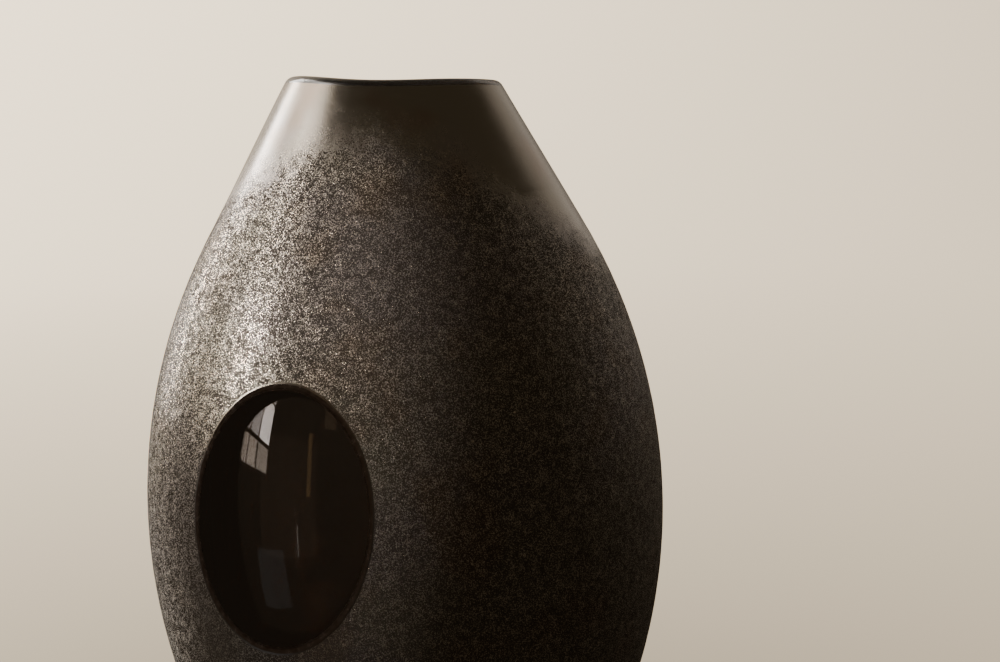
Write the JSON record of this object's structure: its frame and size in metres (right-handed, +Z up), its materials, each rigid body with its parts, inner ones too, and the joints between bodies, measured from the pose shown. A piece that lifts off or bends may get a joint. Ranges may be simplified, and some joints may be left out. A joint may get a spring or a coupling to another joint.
{
  "type": "vase",
  "caption": "Egg-shaped thick-walled blown glass vase with a cut-off conical neck, a granular metallic skin and an oval window ground into the wall.",
  "frame": {"origin": "centre of the flat ground base", "axes": "+Z up along the vase's axis, -Y out through the oval window, +X to the right of someone facing the window"},
  "size_m": [0.2, 0.197, 0.3],
  "materials": {
    "amber_brown_glass": "transparent dark amber-brown, polished",
    "satin_metal_skin": "opaque metal-bearing glass, satin",
    "metal_grain_crust": "opaque metal-bearing glass grains, rough with bright points"
  },
  "bodies": {
    "root": {"glass_body": "amber_brown_glass", "metal_skin": "satin_metal_skin", "grain_crust": "metal_grain_crust"}
  },
  "joints": []
}
